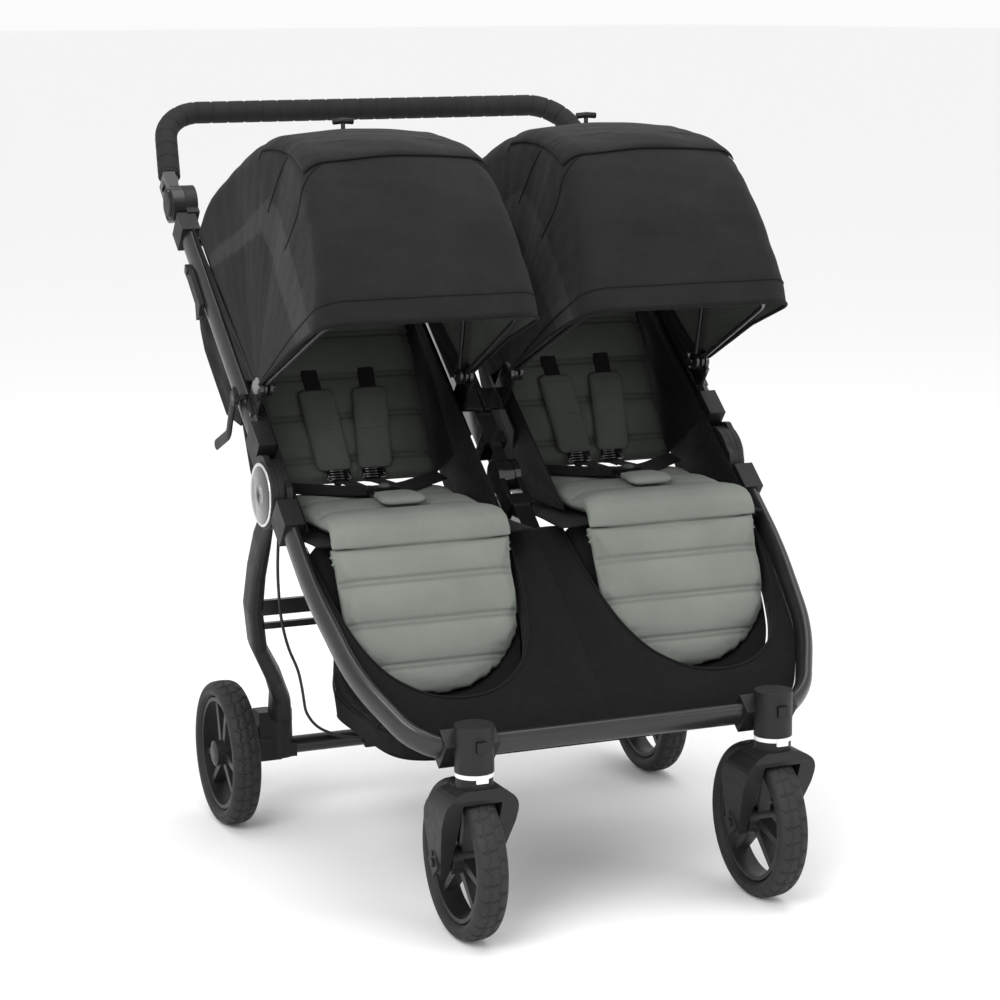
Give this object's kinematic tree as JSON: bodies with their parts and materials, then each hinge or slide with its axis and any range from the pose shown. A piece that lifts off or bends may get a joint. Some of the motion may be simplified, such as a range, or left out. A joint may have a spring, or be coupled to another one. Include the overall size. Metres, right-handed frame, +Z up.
{
  "type": "double jogging stroller",
  "caption": "Side-by-side folding stroller with padded seats, arched canopies, swivel front casters and an adjustable handlebar.",
  "frame": {"origin": "on the floor under the centre of the overall box, midway between the two seats", "axes": "+Z up, front of the stroller at -Y, +X to the right when it is seen from the front"},
  "size_m": [0.748, 1.0582, 1.0626],
  "materials": {
    "frame_metal": "satin dark graphite",
    "black_plastic": "fine-textured black",
    "rim_plastic": "satin black",
    "tyre_rubber": "matte with block tread",
    "grip_rubber": "ribbed matte foam grip",
    "white_plastic": "smooth white",
    "black_fabric": "plain woven black",
    "grey_fabric": "padded grey-green weave",
    "cable_sheath": "smooth black sheath",
    "webbing": "padded strap covers on black webbing"
  },
  "bodies": {
    "lower_frame": {"lower_side_tubes": "frame_metal", "front_crossbar": "frame_metal", "lower_centre_rail": "frame_metal", "lower_hinges": "black_plastic", "caster_housings": "black_plastic", "lock_rings": "white_plastic", "apron": "black_fabric", "basket": "black_fabric", "seat_cushion_left": "grey_fabric", "seat_cushion_right": "grey_fabric", "seat_sides_left": "black_fabric", "seat_sides_right": "black_fabric", "buckles": "black_plastic"},
    "rear_frame": {"rear_legs": "black_plastic", "axle_castings": "black_plastic", "rear_axle_tube": "frame_metal", "leg_bars": "frame_metal", "brake_cable": "cable_sheath", "brake_box": "black_plastic"},
    "upper_frame": {"upper_side_tubes": "frame_metal", "upper_centre_rail": "frame_metal", "upper_hinges": "black_plastic", "cross_tube": "frame_metal", "handle_bases": "black_plastic", "canopy_mounts": "black_plastic", "hood_rear_left": "black_fabric", "hood_rear_right": "black_fabric"},
    "handlebar": {"handle_bar": "frame_metal", "handle_grip": "grip_rubber"},
    "brake_lever": {"brake_lever": "black_plastic"},
    "auto_lock": {"auto_lock": "black_plastic"},
    "caster_left": {"fork_left": "black_plastic"},
    "front_wheel_left": {"front_rim_left": "rim_plastic", "front_tyre_left": "tyre_rubber"},
    "rear_wheel_left": {"rear_rim_left": "rim_plastic", "rear_tyre_left": "tyre_rubber"},
    "swivel_lock_left": {"swivel_lock_left": "black_plastic"},
    "handle_button_left": {"handle_button_left": "black_plastic"},
    "calf_rest_left": {"calf_pad_left": "grey_fabric"},
    "seat_back_left": {"back_pad_left": "grey_fabric", "harness_left": "webbing"},
    "buckle_button_left": {"buckle_button_left": "black_plastic"},
    "canopy_left": {"front_bow_left": "black_plastic", "hood_front_left": "black_fabric"},
    "canopy_mid_left": {"middle_bow_left": "black_plastic"},
    "caster_right": {"fork_right": "black_plastic"},
    "front_wheel_right": {"front_rim_right": "rim_plastic", "front_tyre_right": "tyre_rubber"},
    "rear_wheel_right": {"rear_rim_right": "rim_plastic", "rear_tyre_right": "tyre_rubber"},
    "swivel_lock_right": {"swivel_lock_right": "black_plastic"},
    "handle_button_right": {"handle_button_right": "black_plastic"},
    "calf_rest_right": {"calf_pad_right": "grey_fabric"},
    "seat_back_right": {"back_pad_right": "grey_fabric", "harness_right": "webbing"},
    "buckle_button_right": {"buckle_button_right": "black_plastic"},
    "canopy_right": {"front_bow_right": "black_plastic", "hood_front_right": "black_fabric"},
    "canopy_mid_right": {"middle_bow_right": "black_plastic"}
  },
  "joints": [
    {"name": "frame_fold", "type": "hinge", "parent": "lower_frame", "child": "upper_frame", "pos_m": [0, -0.0445, 0.541], "axis": [1, 0, 0], "range_deg": [-126, 0], "deforming": ["seat_sides_left", "seat_sides_right", "basket", "seat_cushion_left", "seat_cushion_right"]},
    {"name": "rear_fold", "type": "hinge", "parent": "lower_frame", "child": "rear_frame", "pos_m": [0, -0.0445, 0.541], "axis": [1, 0, 0], "range_deg": [-47, 0], "deforming": ["brake_cable"]},
    {"name": "handlebar_tilt", "type": "hinge", "parent": "upper_frame", "child": "handlebar", "pos_m": [0, 0.37035, 0.91564], "axis": [1, 0, 0], "range_deg": [-70, 45]},
    {"name": "brake_lever_pull", "type": "hinge", "parent": "upper_frame", "child": "brake_lever", "pos_m": [-0.363, 0.05443, 0.66382], "axis": [1, 0, 0], "range_deg": [0, 20], "stiffness_Nm_per_rad": 0.4},
    {"name": "auto_lock_turn", "type": "hinge", "parent": "upper_frame", "child": "auto_lock", "pos_m": [-0.363, 0.27265, 0.82327], "axis": [1, 0, 0], "range_deg": [0, 20], "stiffness_Nm_per_rad": 0.2},
    {"name": "caster_swivel_left", "type": "hinge", "parent": "lower_frame", "child": "caster_left", "pos_m": [-0.218, -0.4575, 0.233], "axis": [0, 0, 1], "continuous": true},
    {"name": "front_wheel_spin_left", "type": "hinge", "parent": "caster_left", "child": "front_wheel_left", "pos_m": [-0.218, -0.4215, 0.108], "axis": [1, 0, 0], "continuous": true},
    {"name": "rear_wheel_spin_left", "type": "hinge", "parent": "rear_frame", "child": "rear_wheel_left", "pos_m": [-0.35, 0.1985, 0.108], "axis": [1, 0, 0], "continuous": true},
    {"name": "swivel_lock_push_left", "type": "slide", "parent": "lower_frame", "child": "swivel_lock_left", "axis": [0, 1, 0], "range_m": [0, 0.003], "stiffness_N_per_m": 300},
    {"name": "handle_button_push_left", "type": "slide", "parent": "handlebar", "child": "handle_button_left", "axis": [1, 0, 0], "range_m": [0, 0.003], "stiffness_N_per_m": 400},
    {"name": "buckle_push_left", "type": "slide", "parent": "lower_frame", "child": "buckle_button_left", "axis": [0, 0, -1], "range_m": [0, 0.0025], "stiffness_N_per_m": 400},
    {"name": "calf_rest_tilt_left", "type": "hinge", "parent": "lower_frame", "child": "calf_rest_left", "pos_m": [-0.19, -0.197, 0.489], "axis": [1, 0, 0], "range_deg": [-40, 0]},
    {"name": "seat_recline_left", "type": "hinge", "parent": "upper_frame", "child": "seat_back_left", "pos_m": [-0.19, 0.07, 0.513], "axis": [1, 0, 0], "range_deg": [-45, 0]},
    {"name": "canopy_fold_left", "type": "hinge", "parent": "upper_frame", "child": "canopy_left", "pos_m": [-0.19, 0.0105, 0.683], "axis": [1, 0, 0], "range_deg": [-62, 0], "deforming": ["hood_front_left", "hood_rear_left"]},
    {"name": "canopy_mid_fold_left", "type": "hinge", "parent": "upper_frame", "child": "canopy_mid_left", "pos_m": [-0.19, 0.0105, 0.683], "axis": [1, 0, 0], "range_deg": [-25, 0]},
    {"name": "caster_swivel_right", "type": "hinge", "parent": "lower_frame", "child": "caster_right", "pos_m": [0.218, -0.4575, 0.233], "axis": [0, 0, 1], "continuous": true},
    {"name": "front_wheel_spin_right", "type": "hinge", "parent": "caster_right", "child": "front_wheel_right", "pos_m": [0.218, -0.4215, 0.108], "axis": [1, 0, 0], "continuous": true},
    {"name": "rear_wheel_spin_right", "type": "hinge", "parent": "rear_frame", "child": "rear_wheel_right", "pos_m": [0.35, 0.1985, 0.108], "axis": [1, 0, 0], "continuous": true},
    {"name": "swivel_lock_push_right", "type": "slide", "parent": "lower_frame", "child": "swivel_lock_right", "axis": [0, 1, 0], "range_m": [0, 0.003], "stiffness_N_per_m": 300},
    {"name": "handle_button_push_right", "type": "slide", "parent": "handlebar", "child": "handle_button_right", "axis": [-1, 0, 0], "range_m": [0, 0.003], "stiffness_N_per_m": 400},
    {"name": "buckle_push_right", "type": "slide", "parent": "lower_frame", "child": "buckle_button_right", "axis": [0, 0, -1], "range_m": [0, 0.0025], "stiffness_N_per_m": 400},
    {"name": "calf_rest_tilt_right", "type": "hinge", "parent": "lower_frame", "child": "calf_rest_right", "pos_m": [0.19, -0.197, 0.489], "axis": [1, 0, 0], "range_deg": [-40, 0]},
    {"name": "seat_recline_right", "type": "hinge", "parent": "upper_frame", "child": "seat_back_right", "pos_m": [0.19, 0.07, 0.513], "axis": [1, 0, 0], "range_deg": [-45, 0]},
    {"name": "canopy_fold_right", "type": "hinge", "parent": "upper_frame", "child": "canopy_right", "pos_m": [0.19, 0.0105, 0.683], "axis": [1, 0, 0], "range_deg": [-62, 0], "deforming": ["hood_front_right", "hood_rear_right"]},
    {"name": "canopy_mid_fold_right", "type": "hinge", "parent": "upper_frame", "child": "canopy_mid_right", "pos_m": [0.19, 0.0105, 0.683], "axis": [1, 0, 0], "range_deg": [-25, 0]}
  ],
  "couplings": [
    {"joint": "rear_fold", "follows": "frame_fold", "ratio": 0.37},
    {"joint": "canopy_mid_fold_left", "follows": "canopy_fold_left", "ratio": 0.4},
    {"joint": "canopy_mid_fold_right", "follows": "canopy_fold_right", "ratio": 0.4}
  ]
}
